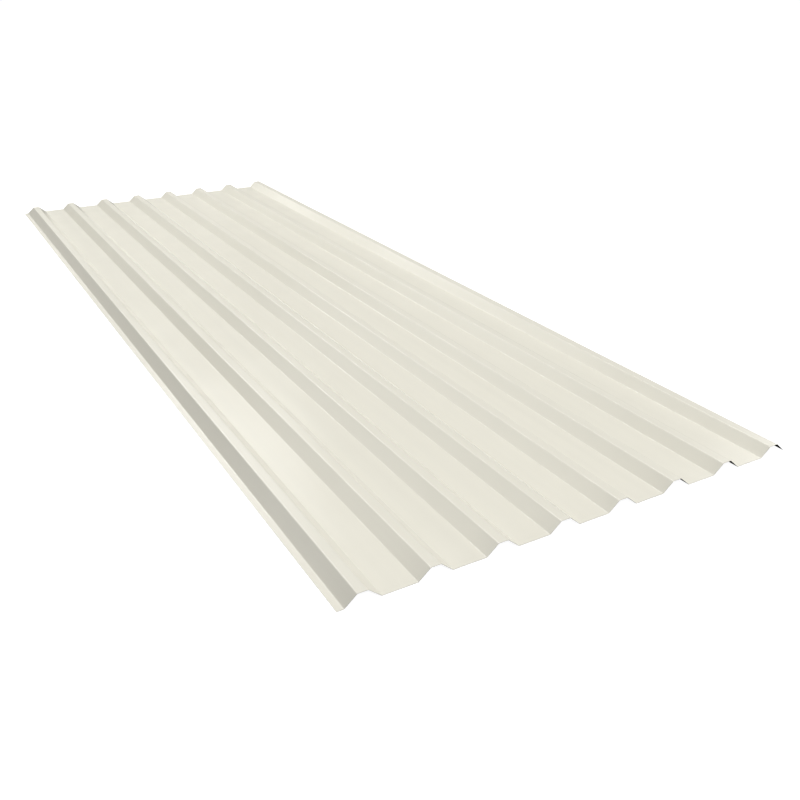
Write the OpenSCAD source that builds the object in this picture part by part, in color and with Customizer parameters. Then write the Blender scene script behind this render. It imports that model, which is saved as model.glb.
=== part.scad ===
// Trapezoidal corrugated roofing sheet, rolled from one flat strip of painted steel.
// X runs across the ribs, Y along them and Z up, in millimetres.
// The origin is on the floor, under the middle of the sheet.

/* [Sheet] */
// Length that the sheet is cut to
sheet_length = 3050; // [1000:10:12000]
// Thickness of the painted steel
sheet_thickness = 0.45; // [0.3:0.05:1.2]
// Inside radius of every bend
bend_radius = 4; // [1:0.5:8]

/* [Ribs] */
// Number of ribs across the sheet
rib_count = 8; // [2:1:12]
// Distance between the centres of neighbouring ribs
rib_pitch = 144; // [110:1:250]
// Height of the crests above the flat pans between the ribs
rib_height = 22; // [12:1:40]
// Width of a rib at its foot, between the corners where its sides meet the pans
rib_base = 72; // [55:1:100]
// Width of a rib's crest, between the corners where it meets the sides
crest_width = 21; // [12:1:40]

/* [Edges] */
// Width of the flat lip outside the first rib, from the corner of that rib's foot
lip_width = 14; // [6:1:40]
// Height of the last rib's free edge above the floor, to clear the pan that it laps over
free_edge_lift = 1; // [0:0.5:8]

/* [Hidden] */
$fn = 64;

// Cream paint
paint_colour = "#e8e6d9";

// The strip's two faces, by their height over the underside
underside = 0;
top_face = sheet_thickness;

// Slope of a rib's sides, with the directions down its right side and square out of it
side_run = (rib_base - crest_width) / 2;
side_angle = atan2(rib_height, side_run);
side_down = [cos(side_angle), -sin(side_angle)];
side_out = [sin(side_angle), cos(side_angle)];

// Each bend eats into the flats beside its corner by its radius times this
corner_share = tan(side_angle / 2);
outer_radius = bend_radius + sheet_thickness;

// Centres of the bends on a rib's right: above the strip at the foot, below it at the crest
foot_centre = [rib_base / 2 + bend_radius * corner_share, outer_radius];
crest_centre = [crest_width / 2 - outer_radius * corner_share, rib_height - bend_radius];

// The last side runs straight down from its crest's bend and is cut off square,
// with the lower corner of the cut at free_edge_lift above the floor
side_start = crest_centre + bend_radius * side_out;
free_corner = side_start + side_down * (side_start.y - free_edge_lift) / sin(side_angle);

// Edges of the whole sheet, measured from the centre of the first rib
left_edge = -rib_base / 2 - lip_width;
last_rib = (rib_count - 1) * rib_pitch;
right_edge = last_rib + free_corner.x + sheet_thickness * side_out.x;
sheet_middle = (left_edge + right_edge) / 2;

// The bends are drawn this much too large, so that they cross the flats and don't just touch them
bend_overlap = 0.0005;

// How far the drawing runs on below the floor and past the free edge, where it is cut away
spare = rib_height;

// Right half of the outline under one face of a rib, from its crest down to below the floor,
// with the corners cut across where the bends go
function half_outline(face, is_free) =
    let (run_out = free_corner + face * side_out + spare * side_down)
    concat(
        [[crest_centre.x, rib_height + face], crest_centre + (bend_radius + face) * side_out],
        is_free
            ? [run_out, [run_out.x, -spare]]
            : [foot_centre - (outer_radius - face) * side_out, foot_centre, [foot_centre.x, -spare]]
    );

// The whole outline, up the right side and down the left
function rib_outline(face, is_last) =
    let (right = half_outline(face, is_last))
    let (left = half_outline(face, false))
    concat(
        [for (i = [len(right) - 1 : -1 : 0]) right[i]],
        [for (point = left) [-point.x, point.y]]
    );

// Discs that give the bends on a rib's left (-1) and right (1) their curve
module bend_discs(centre, radius, sides) {
    for (side = sides)
        translate([side * centre.x, centre.y])
            circle(r = radius + bend_overlap);
}

// All that lies under one face of a rib, with its centre at X 0
module under_rib(face, is_last) {
    difference() {
        union() {
            polygon(rib_outline(face, is_last));
            bend_discs(crest_centre, bend_radius + face, [-1, 1]);
        }
        bend_discs(foot_centre, outer_radius - face, is_last ? [-1] : [-1, 1]);
    }
}

// All that lies under one face of the bent strip
module under_strip(face) {
    translate([left_edge, -spare])
        square([last_rib - left_edge, spare + face]);
    for (i = [0 : rib_count - 1])
        translate([i * rib_pitch, 0])
            under_rib(face, i == rib_count - 1);
}

// The bent strip seen from its end, with the first rib's centre at X 0 and the floor at Y 0
module sheet_section() {
    difference() {
        under_strip(top_face);
        under_strip(underside);
        translate([last_rib, 0] + free_corner)
            rotate(-side_angle)
                translate([0, -2 * spare])
                    square([2 * spare, 3 * spare]);
    }
}

module corrugated_sheet() {
    color(paint_colour)
        rotate([90, 0, 0])
            linear_extrude(height = sheet_length, center = true)
                translate([-sheet_middle, 0])
                    sheet_section();
}

corrugated_sheet();
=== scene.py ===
"""Trapezoidal corrugated roofing sheet of cream coil-painted steel, lying on a pale studio floor."""

import math
from typing import NamedTuple

import bmesh
import bpy
from bpy.props import FloatProperty, FloatVectorProperty, IntProperty, PointerProperty
from mathutils import Matrix, Vector


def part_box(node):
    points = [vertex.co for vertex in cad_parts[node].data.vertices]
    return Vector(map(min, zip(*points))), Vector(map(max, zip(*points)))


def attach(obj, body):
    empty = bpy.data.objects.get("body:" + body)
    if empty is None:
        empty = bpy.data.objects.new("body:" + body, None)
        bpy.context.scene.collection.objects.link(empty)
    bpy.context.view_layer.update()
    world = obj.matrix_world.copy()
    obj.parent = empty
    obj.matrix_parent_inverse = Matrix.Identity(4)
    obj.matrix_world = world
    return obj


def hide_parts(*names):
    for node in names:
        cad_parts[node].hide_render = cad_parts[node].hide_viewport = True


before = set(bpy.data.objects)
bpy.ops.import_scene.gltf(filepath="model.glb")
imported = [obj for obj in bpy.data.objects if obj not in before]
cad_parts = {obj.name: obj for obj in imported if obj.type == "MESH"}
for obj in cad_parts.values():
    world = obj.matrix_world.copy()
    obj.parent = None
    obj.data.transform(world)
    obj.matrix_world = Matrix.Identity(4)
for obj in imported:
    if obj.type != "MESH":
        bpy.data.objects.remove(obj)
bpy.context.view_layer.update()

bl_info = {
    "name": "Corrugated Roofing Sheet",
    "version": (1, 0, 0),
    "blender": (4, 5, 0),
    "location": "3D View > Sidebar > Roofing",
    "description": "Rolls a trapezoidal roofing sheet of painted steel and lights it in a studio",
    "category": "Object",
}

SHEET_NODE = "corrugated_sheet"

sheet_low, sheet_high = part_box(SHEET_NODE)


def linear_colour(hex_code):
    """Turns an sRGB hex code such as #e8e6d9 into a linear colour with alpha."""
    channels = [int(hex_code[i : i + 2], 16) / 255 for i in (1, 3, 5)]
    linear = [c / 12.92 if c <= 0.04045 else ((c + 0.055) / 1.055) ** 2.4 for c in channels]
    return (*linear, 1.0)


# Settings

class SheetSettings(bpy.types.PropertyGroup):
    """Sizes and finishes of the roofing sheet"""

    length: FloatProperty(
        name="Length",
        description="Length that the sheet is cut to",
        default=sheet_high.y - sheet_low.y,
        min=0.1,
        unit="LENGTH",
    )
    thickness: FloatProperty(
        name="Thickness",
        description="Thickness of the painted steel",
        default=0.00045,
        min=0.0003,
        max=0.0012,
        precision=5,
        unit="LENGTH",
    )
    bend_radius: FloatProperty(
        name="Bend radius",
        description="Inside radius of every bend",
        default=0.004,
        min=0.001,
        max=0.008,
        precision=4,
        unit="LENGTH",
    )
    rib_count: IntProperty(
        name="Ribs",
        description="Number of ribs across the sheet",
        default=8,
        min=2,
        max=12,
    )
    rib_pitch: FloatProperty(
        name="Rib pitch",
        description="Distance between the centres of neighbouring ribs",
        default=0.144,
        min=0.11,
        max=0.25,
        precision=4,
        unit="LENGTH",
    )
    rib_base: FloatProperty(
        name="Rib base",
        description="Width of a rib at its foot, between the corners where its sides meet the pans",
        default=0.072,
        min=0.055,
        max=0.1,
        precision=4,
        unit="LENGTH",
    )
    crest_width: FloatProperty(
        name="Crest width",
        description="Width of a rib's crest, between the corners where it meets the sides",
        default=0.021,
        min=0.012,
        max=0.04,
        precision=4,
        unit="LENGTH",
    )
    lip_width: FloatProperty(
        name="Lip width",
        description="Width of the flat lip outside the first rib",
        default=0.014,
        min=0.006,
        max=0.04,
        precision=4,
        unit="LENGTH",
    )
    free_edge_lift: FloatProperty(
        name="Free edge lift",
        description="Height of the last rib's free edge above the floor",
        default=0.001,
        min=0.0,
        max=0.008,
        precision=4,
        unit="LENGTH",
    )
    pan_buckle: FloatProperty(
        name="Pan buckle",
        description="How far the flat pans swell up between the ribs, in soft waves along the sheet",
        default=0.0004,
        min=0.0,
        max=0.004,
        precision=5,
        unit="LENGTH",
    )
    paint_colour: FloatVectorProperty(
        name="Paint",
        description="Colour of the paint on the weather side",
        default=linear_colour("#e7e4d7"),
        size=4,
        min=0.0,
        max=1.0,
        subtype="COLOR",
    )
    backer_colour: FloatVectorProperty(
        name="Backer",
        description="Colour of the thin coat on the underside",
        default=linear_colour("#a3a49f"),
        size=4,
        min=0.0,
        max=1.0,
        subtype="COLOR",
    )
    # The cut edges' colour is darker than bare galvanised steel: it paints a thin shade line along the
    # sheet's outline
    steel_painted_shade_colour: FloatVectorProperty(
        name="Bare steel",
        description="Colour of the steel where the sheet is cut",
        default=linear_colour("#3b3d3e"),
        size=4,
        min=0.0,
        max=1.0,
        subtype="COLOR",
    )


class StageSettings(bpy.types.PropertyGroup):
    """Floor, lights and camera of the studio"""

    floor_radius: FloatProperty(
        name="Floor radius",
        description="Reach of the floor from the sheet",
        default=60.0,
        min=5.0,
        unit="LENGTH",
    )
    light_distance: FloatProperty(
        name="Light distance",
        description="How far the softboxes stand from the middle of the sheet",
        default=5.0,
        min=2.0,
        unit="LENGTH",
    )
    light_level: FloatProperty(
        name="Light level",
        description="Strength of all the softboxes together",
        default=1.0,
        min=0.0,
        subtype="FACTOR",
    )
    camera_place: FloatVectorProperty(
        name="Camera place",
        description="Where the camera stands",
        default=(-1.037, -2.615, 0.968),
        size=3,
        subtype="TRANSLATION",
        unit="LENGTH",
    )
    camera_turn: FloatProperty(
        name="Camera turn",
        description="How far the view turns from the sheet's length towards its last rib",
        default=math.radians(30.24),
        subtype="ANGLE",
    )
    camera_dip: FloatProperty(
        name="Camera dip",
        description="How far the view looks down",
        default=math.radians(25.89),
        subtype="ANGLE",
    )
    camera_lens: FloatProperty(
        name="Lens",
        description="Focal length in millimetres, on a sensor 36 mm wide",
        default=40.52,
        min=10.0,
    )
    camera_shift: FloatProperty(
        name="Lens shift",
        description="Sideways shift of the picture, as a share of its width",
        default=-0.015,
    )


# Rolled section

class SectionPoint(NamedTuple):
    """A point in the middle of the strip's thickness, seen from the end of the sheet"""

    x: float
    z: float
    heading: float  # direction of the strip there, up from level
    reach: float  # distance from the lip's edge along the strip
    pan_number: int  # the pan that the point is in or has passed
    pan_share: float  # how far across its pan it is, or 0 outside the pans


def strip_course(settings):
    """The strip's flats and bends in order from the lip to the free edge, as (name, length, turn)."""
    rib_height = sheet_high.z - sheet_low.z - settings.thickness
    side_run = (settings.rib_base - settings.crest_width) / 2
    angle = math.atan2(rib_height, side_run)
    corner_share = math.tan(angle / 2)
    outer_radius = settings.bend_radius + settings.thickness
    bend_length = (settings.bend_radius + settings.thickness / 2) * angle
    side_flat = math.hypot(side_run, rib_height) - (settings.bend_radius + outer_radius) * corner_share
    foot_start = settings.rib_base / 2 + settings.bend_radius * corner_share
    side_cut = (settings.free_edge_lift - outer_radius * (1 - math.cos(angle))) / math.sin(angle)

    lip = ("lip", settings.lip_width - settings.bend_radius * corner_share, 0.0)
    pan = ("pan", settings.rib_pitch - 2 * foot_start, 0.0)
    side = ("side", side_flat, 0.0)
    crest = ("crest", settings.crest_width - 2 * outer_radius * corner_share, 0.0)
    rise = ("bend", bend_length, angle)
    fall = ("bend", bend_length, -angle)
    rib = [rise, side, fall, crest, fall, side, rise]

    course = [lip] + rib
    for _ in range(settings.rib_count - 1):
        course += [pan] + rib
    free_side = ("side", side_flat - side_cut, 0.0)
    return course[:-2] + [free_side]


# How many parts each flat or bend is drawn in, across the sheet
PARTS_ACROSS = {"lip": 2, "pan": 8, "side": 2, "crest": 2, "bend": 8}


def rolled_section(settings):
    """Points across the sheet, from the lip's edge to the free edge."""
    points = [SectionPoint(sheet_low.x, settings.thickness / 2, 0.0, 0.0, 0, 0.0)]
    pan_number = 0
    for name, length, turn in strip_course(settings):
        start = points[-1]
        pan_number += name == "pan"
        parts = PARTS_ACROSS[name]
        for part in range(1, parts + 1):
            share = part / parts
            bend = turn * share
            # A chord of an even bend points half-way through it
            chord = length * share * (math.sin(bend / 2) / (bend / 2) if bend else 1.0)
            direction = start.heading + bend / 2
            points.append(
                SectionPoint(
                    x=start.x + chord * math.cos(direction),
                    z=start.z + chord * math.sin(direction),
                    heading=start.heading + bend,
                    reach=start.reach + length * share,
                    pan_number=pan_number,
                    pan_share=share if name == "pan" else 0.0,
                )
            )
    return points


# Materials

COATING_IOR = 1.5
PEEL_DEPTH = 0.00002  # metres

# Most of a noise pattern's values lie within this span
NOISE_SPAN = {"From Min": 0.3, "From Max": 0.7}


def per_metre(millimetres):
    """How often a pattern of this size comes in a metre."""
    return 1000.0 / millimetres


def add_node(tree, kind, inputs=None, **settings):
    """Adds a node with its settings, and links or sets its named inputs."""
    node = tree.nodes.new(kind)
    for name, value in settings.items():
        setattr(node, name, value)
    for name, value in (inputs or {}).items():
        if isinstance(value, bpy.types.NodeSocket):
            tree.links.new(value, node.inputs[name])
        else:
            node.inputs[name].default_value = value
    return node


def new_material(name):
    """An empty material and its node tree."""
    material = bpy.data.materials.new(name)
    material.use_nodes = True
    material.node_tree.nodes.clear()
    return material, material.node_tree


def coil_paint(settings):
    """Polyester paint that was rolled onto the coil and baked before the sheet was bent.

    It gives an even satin cream, a little streaky along the strip, with a soft sheen.
    """
    material, tree = new_material("coil_coated_polyester")
    place = add_node(tree, "ShaderNodeTexCoord").outputs["Object"]

    # Streaks from the coating roller, about 35 mm wide and 2 m long
    along_strip = add_node(
        tree,
        "ShaderNodeMapping",
        {"Vector": place, "Scale": (per_metre(35), per_metre(2000), per_metre(35))},
    )
    streaks = add_node(
        tree,
        "ShaderNodeTexNoise",
        {"Vector": along_strip.outputs["Vector"], "Scale": 1.0, "Detail": 3.0},
        label="Roller streaks",
    )
    tone = add_node(
        tree,
        "ShaderNodeMapRange",
        {"Value": streaks.outputs["Fac"], **NOISE_SPAN, "To Min": 0.985, "To Max": 1.015},
    )
    colour = add_node(
        tree,
        "ShaderNodeHueSaturation",
        {"Color": tuple(settings.paint_colour), "Value": tone.outputs["Result"]},
    )

    # Gloss that drifts a little within a hand's width, about 90 mm
    drift = add_node(
        tree,
        "ShaderNodeTexNoise",
        {"Vector": place, "Scale": per_metre(90), "Detail": 2.0},
        label="Gloss drift",
    )
    gloss = add_node(
        tree,
        "ShaderNodeMapRange",
        {"Value": drift.outputs["Fac"], **NOISE_SPAN, "To Min": 0.19, "To Max": 0.25},
    )

    # Orange peel: the real one has waves of 1 to 2 mm, which are drawn at 7 mm so that they show
    peel = add_node(
        tree,
        "ShaderNodeTexNoise",
        {"Vector": place, "Scale": per_metre(7), "Detail": 1.0},
        label="Orange peel",
    )
    ripple = add_node(
        tree,
        "ShaderNodeBump",
        {"Height": peel.outputs["Fac"], "Strength": 1.0, "Distance": PEEL_DEPTH},
    )
    shader = add_node(
        tree,
        "ShaderNodeBsdfPrincipled",
        {
            "Base Color": colour.outputs["Color"],
            "Roughness": gloss.outputs["Result"],
            "IOR": COATING_IOR,
            "Normal": ripple.outputs["Normal"],
        },
    )
    add_node(tree, "ShaderNodeOutputMaterial", {"Surface": shader.outputs["BSDF"]})
    return material


def backer_coat(settings):
    """Thin epoxy wash coat on the underside: a dull grey, mottled where the zinc shows through."""
    material, tree = new_material("epoxy_backer_coat")
    place = add_node(tree, "ShaderNodeTexCoord").outputs["Object"]

    # Mottle in patches of about 18 mm, duller where it is darker
    mottle = add_node(
        tree,
        "ShaderNodeTexNoise",
        {"Vector": place, "Scale": per_metre(18), "Detail": 5.0, "Roughness": 0.6},
        label="Zinc mottle",
    )
    tone = add_node(
        tree,
        "ShaderNodeMapRange",
        {"Value": mottle.outputs["Fac"], **NOISE_SPAN, "To Min": 0.93, "To Max": 1.07},
    )
    colour = add_node(
        tree,
        "ShaderNodeHueSaturation",
        {"Color": tuple(settings.backer_colour), "Value": tone.outputs["Result"]},
    )
    gloss = add_node(
        tree,
        "ShaderNodeMapRange",
        {"Value": mottle.outputs["Fac"], **NOISE_SPAN, "To Min": 0.58, "To Max": 0.48},
    )
    shader = add_node(
        tree,
        "ShaderNodeBsdfPrincipled",
        {"Base Color": colour.outputs["Color"], "Roughness": gloss.outputs["Result"], "IOR": COATING_IOR},
    )
    add_node(tree, "ShaderNodeOutputMaterial", {"Surface": shader.outputs["BSDF"]})
    return material


def cut_edge(settings):
    """Galvanised steel where the shear went through it: bare metal, dull and finely scored, in a dark grey
    that is painted shade along the cut edges, much darker than bare steel is.
    """
    material, tree = new_material("sheared_steel_painted_shade")
    place = add_node(tree, "ShaderNodeTexCoord").outputs["Object"]

    # Scores from the blade: the real ones are 0.1 mm apart, and are drawn at 3 mm so that they show
    scores = add_node(
        tree,
        "ShaderNodeTexNoise",
        {"Vector": place, "Scale": per_metre(3), "Detail": 2.0},
        label="Shear scores",
    )
    tone = add_node(
        tree,
        "ShaderNodeMapRange",
        {"Value": scores.outputs["Fac"], **NOISE_SPAN, "To Min": 0.75, "To Max": 1.25},
    )
    # The near-black steel colour is painted shade, which draws a dark line along the cut edges
    colour = add_node(
        tree,
        "ShaderNodeHueSaturation",
        {"Color": tuple(settings.steel_painted_shade_colour), "Value": tone.outputs["Result"]},
    )
    gloss = add_node(
        tree,
        "ShaderNodeMapRange",
        {"Value": scores.outputs["Fac"], **NOISE_SPAN, "To Min": 0.6, "To Max": 0.38},
    )
    shader = add_node(
        tree,
        "ShaderNodeBsdfPrincipled",
        {"Base Color": colour.outputs["Color"], "Metallic": 1.0, "Roughness": gloss.outputs["Result"]},
    )
    add_node(tree, "ShaderNodeOutputMaterial", {"Surface": shader.outputs["BSDF"]})
    return material


# Sheet

PAINT, BACKER, CUT_EDGE = range(3)
ROW_SPACING = 0.04  # metres along the sheet
FIT_TOLERANCE = 0.0001  # metres
SHARP_ANGLE = math.radians(35)

# The finishes are mapped on the strip laid out flat. The cut edges are far thinner than the strip
# is wide, so they get bands of their own, as shares of the map's width or height.
FINISH_MAP = "OFBake"
SIDE_BAND = 0.01
LENGTH_SHARE = 0.95
NEAR_BAND = (0.965, 0.975)
FAR_BAND = (0.985, 0.995)

# The pans buckle in a long and a short wave along the sheet, in metres, out of step from pan to pan
LONG_WAVE = 0.62
SHORT_WAVE = 0.37
SHORT_WAVE_SHARE = 0.6
SHORT_WAVE_LEAD = 1.7
PAN_PHASE = 2.4


def pan_swell(y, pan_number, share):
    """Share of the pan's buckle at a place: soft waves along the sheet, none at the pan's edges."""
    if not 0.0 < share < 1.0:
        return 0.0
    phase = PAN_PHASE * pan_number
    long_wave = math.sin(math.tau * y / LONG_WAVE + phase)
    short_wave = SHORT_WAVE_SHARE * math.sin(math.tau * y / SHORT_WAVE + SHORT_WAVE_LEAD * phase)
    swell = 0.5 + (long_wave + short_wave) / (2 * (1 + SHORT_WAVE_SHARE))
    return math.sin(math.pi * share) ** 2 * swell


def sheet_ring(section, y, settings):
    """Corners of a cut across the sheet: over the painted side from the lip, then back underneath."""
    skins = []
    for half in (settings.thickness / 2, -settings.thickness / 2):
        skin = []
        for point in section:
            lift = settings.pan_buckle * pan_swell(y, point.pan_number, point.pan_share)
            x = point.x - half * math.sin(point.heading)
            z = point.z + half * math.cos(point.heading) + lift
            skin.append(Vector((x, y, z)))
        skins.append(skin)
    painted, under = skins
    return painted + under[::-1]


def map_columns(section):
    """Places of a ring's corners across the finish map, with the first corner once more at the end."""
    width = section[-1].reach
    half = 0.5 - SIDE_BAND
    painted = [half * point.reach / width for point in section]
    under = [0.5 + half * (1 - point.reach / width) for point in reversed(section)]
    return painted + under + [1.0]


def add_face(builder, finish_map, corners, finish):
    """Adds a face with its finish, from its corners as (vertex, place on the finish map)."""
    face = builder.faces.new([vertex for vertex, _ in corners])
    face.material_index = finish
    for loop, (_, place) in zip(face.loops, corners):
        loop[finish_map].uv = place


def add_skins(builder, finish_map, rings, columns):
    """Closes the painted side, the underside and the two long edges between the rings."""
    count = len(rings[0])
    last = count // 2 - 1
    for j, (near, far) in enumerate(zip(rings, rings[1:])):
        near_row = LENGTH_SHARE * j / (len(rings) - 1)
        far_row = LENGTH_SHARE * (j + 1) / (len(rings) - 1)
        for k in range(count):
            after = (k + 1) % count
            corners = (
                (near[k], (columns[k], near_row)),
                (near[after], (columns[k + 1], near_row)),
                (far[after], (columns[k + 1], far_row)),
                (far[k], (columns[k], far_row)),
            )
            if k in (last, count - 1):
                finish = CUT_EDGE
            else:
                finish = PAINT if k < last else BACKER
            add_face(builder, finish_map, corners, finish)


def add_end(builder, finish_map, ring, columns, band, is_far):
    """Closes an end of the sheet between its painted side and its underside."""
    low, high = band
    for i in range(len(ring) // 2 - 1):
        corners = (
            (ring[-1 - i], (columns[i], low)),
            (ring[-2 - i], (columns[i + 1], low)),
            (ring[i + 1], (columns[i + 1], high)),
            (ring[i], (columns[i], high)),
        )
        add_face(builder, finish_map, corners[::-1] if is_far else corners, CUT_EDGE)


def roll_sheet(settings):
    """Makes the sheet as one closed mesh, with its finishes, its finish map and its shading."""
    section = rolled_section(settings)
    rows = round(settings.length / ROW_SPACING)
    rings = []
    builder = bmesh.new()
    for j in range(rows + 1):
        y = sheet_low.y + settings.length * j / rows
        rings.append([builder.verts.new(corner) for corner in sheet_ring(section, y, settings)])
    if abs(max(corner.co.x for corner in rings[0]) - sheet_high.x) > FIT_TOLERANCE:
        raise ValueError("The rolled strip doesn't end where the frame's sheet does")

    finish_map = builder.loops.layers.uv.new(FINISH_MAP)
    columns = map_columns(section)
    add_skins(builder, finish_map, rings, columns)
    add_end(builder, finish_map, rings[0], columns, NEAR_BAND, is_far=False)
    add_end(builder, finish_map, rings[-1], columns, FAR_BAND, is_far=True)
    mesh = bpy.data.meshes.new("painted_sheet")
    builder.to_mesh(mesh)
    builder.free()
    for finish in (coil_paint(settings), backer_coat(settings), cut_edge(settings)):
        mesh.materials.append(finish)

    sheet = bpy.data.objects.new("painted_sheet", mesh)
    bpy.context.scene.collection.objects.link(sheet)
    mesh.shade_smooth()
    mesh.set_sharp_from_angle(angle=SHARP_ANGLE)

    # The large flats lead the shading, so that it turns only within the bends
    flats_lead = sheet.modifiers.new("flats_lead", "WEIGHTED_NORMAL")
    flats_lead.mode = "FACE_AREA"
    flats_lead.keep_sharp = True
    bpy.context.view_layer.objects.active = sheet
    bpy.ops.object.modifier_apply(modifier=flats_lead.name)
    return sheet


class ROOFING_OT_roll_sheet(bpy.types.Operator):
    """Roll the painted sheet and lay it on the floor"""

    bl_idname = "roofing.roll_sheet"
    bl_label = "Roll sheet"
    bl_options = {"REGISTER", "UNDO"}

    def execute(self, context):
        sheet = roll_sheet(context.scene.roofing_sheet)
        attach(sheet, "root")
        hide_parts(SHEET_NODE)
        return {"FINISHED"}


# Stage

class Softbox(NamedTuple):
    """A soft light that stands around the sheet and faces its middle"""

    name: str
    turn: float  # degrees from the far end towards the last rib
    height: float  # degrees up from the floor
    size: tuple  # metres, across and up
    power: float  # watts


# The far lights give the pans, sides and bends their sheen, and the fills set the tones
SOFTBOXES = (
    Softbox("overhead", 20, 75, (3.0, 3.0), 134),
    Softbox("far_key", 0, 44, (1.3, 2.8), 60),
    Softbox("far_panel", 16, 39, (1.0, 1.8), 8),
    Softbox("far_wall", 5, 12, (2.0, 2.1), 1.4),
    Softbox("far_card", 358.5, 22, (0.25, 0.9), 3.2),
    Softbox("left_card", 347, 15.5, (1.4, 0.8), 1.0),
    Softbox("near_fill", 180, 35, (3.0, 2.5), 85),
    Softbox("left_fill", 325, 38, (3.0, 2.5), 30),
    Softbox("right_fill", 90, 40, (3.0, 2.5), 46),
)

FLOOR_DROP = 0.0002  # metres below the sheet
FLOOR_SIDES = 96
PAPER_GLOW = 0.98
BACKDROP_GLOW = 1.0
ROOM_GLOW = 0.12
HORIZON_FADE = 0.05  # rise above the horizon at which the room has its full glow
SENSOR_WIDTH = 36.0  # millimetres


def floor_paper():
    """Matt white studio paper, lit so evenly that it shows hardly any shade."""
    material, tree = new_material("studio_paper")
    shader = add_node(
        tree,
        "ShaderNodeBsdfPrincipled",
        {
            "Base Color": linear_colour("#898989"),
            "Roughness": 0.9,
            "Emission Color": linear_colour("#ffffff"),
            "Emission Strength": PAPER_GLOW,
        },
    )
    add_node(tree, "ShaderNodeOutputMaterial", {"Surface": shader.outputs["BSDF"]})
    return material


def lay_floor(settings):
    """A wide floor under the sheet, which throws no light back onto it."""
    mesh = bpy.data.meshes.new("studio_floor")
    builder = bmesh.new()
    bmesh.ops.create_circle(builder, cap_ends=True, segments=FLOOR_SIDES, radius=settings.floor_radius)
    builder.to_mesh(mesh)
    builder.free()
    mesh.materials.append(floor_paper())
    floor = bpy.data.objects.new("studio_floor", mesh)
    floor.location.z = sheet_low.z - FLOOR_DROP
    floor.visible_diffuse = False
    floor.visible_glossy = False
    bpy.context.scene.collection.objects.link(floor)


def hang_softbox(box, settings):
    """Hangs a softbox at its place around the sheet."""
    data = bpy.data.lights.new(box.name, "AREA")
    data.shape = "RECTANGLE"
    data.size, data.size_y = box.size
    data.energy = box.power * settings.light_level
    light = bpy.data.objects.new(box.name, data)
    turn = math.radians(box.turn)
    height = math.radians(box.height)
    outward = Vector(
        (math.sin(turn) * math.cos(height), math.cos(turn) * math.cos(height), math.sin(height))
    )
    light.location = settings.light_distance * outward
    light.rotation_euler = (-outward).to_track_quat("-Z", "Y").to_euler()
    light.visible_camera = False
    bpy.context.scene.collection.objects.link(light)


def set_world():
    """A white backdrop in a room that is otherwise dim, and dark below the horizon."""
    world = bpy.data.worlds.new("studio")
    world.use_nodes = True
    tree = world.node_tree
    tree.nodes.clear()
    direction = add_node(tree, "ShaderNodeTexCoord")
    rise = add_node(tree, "ShaderNodeSeparateXYZ", {"Vector": direction.outputs["Generated"]})
    dim = add_node(
        tree,
        "ShaderNodeMapRange",
        {"Value": rise.outputs["Z"], "From Max": HORIZON_FADE, "To Max": ROOM_GLOW},
    )
    seen = add_node(tree, "ShaderNodeLightPath")
    glow = add_node(
        tree,
        "ShaderNodeMapRange",
        {"Value": seen.outputs["Is Camera Ray"], "To Min": dim.outputs["Result"], "To Max": BACKDROP_GLOW},
    )
    room = add_node(
        tree,
        "ShaderNodeBackground",
        {"Color": linear_colour("#ffffff"), "Strength": glow.outputs["Result"]},
    )
    add_node(tree, "ShaderNodeOutputWorld", {"Surface": room.outputs["Background"]})
    bpy.context.scene.world = world


def place_camera(settings):
    """A camera that looks across the ribs from beside the lip, a little down on the sheet."""
    data = bpy.data.cameras.new("camera")
    data.sensor_width = SENSOR_WIDTH
    data.lens = settings.camera_lens
    data.shift_x = settings.camera_shift
    camera = bpy.data.objects.new("camera", data)
    turn = Matrix.Rotation(-settings.camera_turn, 4, "Z")
    dip = Matrix.Rotation(math.pi / 2 - settings.camera_dip, 4, "X")
    camera.matrix_world = Matrix.Translation(settings.camera_place) @ turn @ dip
    bpy.context.scene.collection.objects.link(camera)
    bpy.context.scene.camera = camera


class ROOFING_OT_set_stage(bpy.types.Operator):
    """Lay the floor, hang the lights and place the camera"""

    bl_idname = "roofing.set_stage"
    bl_label = "Set stage"
    bl_options = {"REGISTER", "UNDO"}

    def execute(self, context):
        settings = context.scene.roofing_stage
        lay_floor(settings)
        for box in SOFTBOXES:
            hang_softbox(box, settings)
        set_world()
        place_camera(settings)
        context.scene.view_settings.view_transform = "Standard"
        return {"FINISHED"}


# Panel

class ROOFING_PT_sheet(bpy.types.Panel):
    """Sizes and steps for the roofing sheet"""

    bl_idname = "ROOFING_PT_sheet"
    bl_label = "Roofing sheet"
    bl_space_type = "VIEW_3D"
    bl_region_type = "UI"
    bl_category = "Roofing"

    def draw(self, context):
        layout = self.layout
        for group in (context.scene.roofing_sheet, context.scene.roofing_stage):
            column = layout.column()
            for name in group.__annotations__:
                column.prop(group, name)
        layout.operator(ROOFING_OT_roll_sheet.bl_idname)
        layout.operator(ROOFING_OT_set_stage.bl_idname)


CLASSES = (
    SheetSettings,
    StageSettings,
    ROOFING_OT_roll_sheet,
    ROOFING_OT_set_stage,
    ROOFING_PT_sheet,
)


def register():
    for cls in CLASSES:
        bpy.utils.register_class(cls)
    bpy.types.Scene.roofing_sheet = PointerProperty(type=SheetSettings)
    bpy.types.Scene.roofing_stage = PointerProperty(type=StageSettings)


def unregister():
    del bpy.types.Scene.roofing_stage
    del bpy.types.Scene.roofing_sheet
    for cls in reversed(CLASSES):
        bpy.utils.unregister_class(cls)


def main():
    """Rolls the sheet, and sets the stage."""
    register()
    bpy.ops.roofing.roll_sheet()
    bpy.ops.roofing.set_stage()


if __name__ == "__main__":
    main()
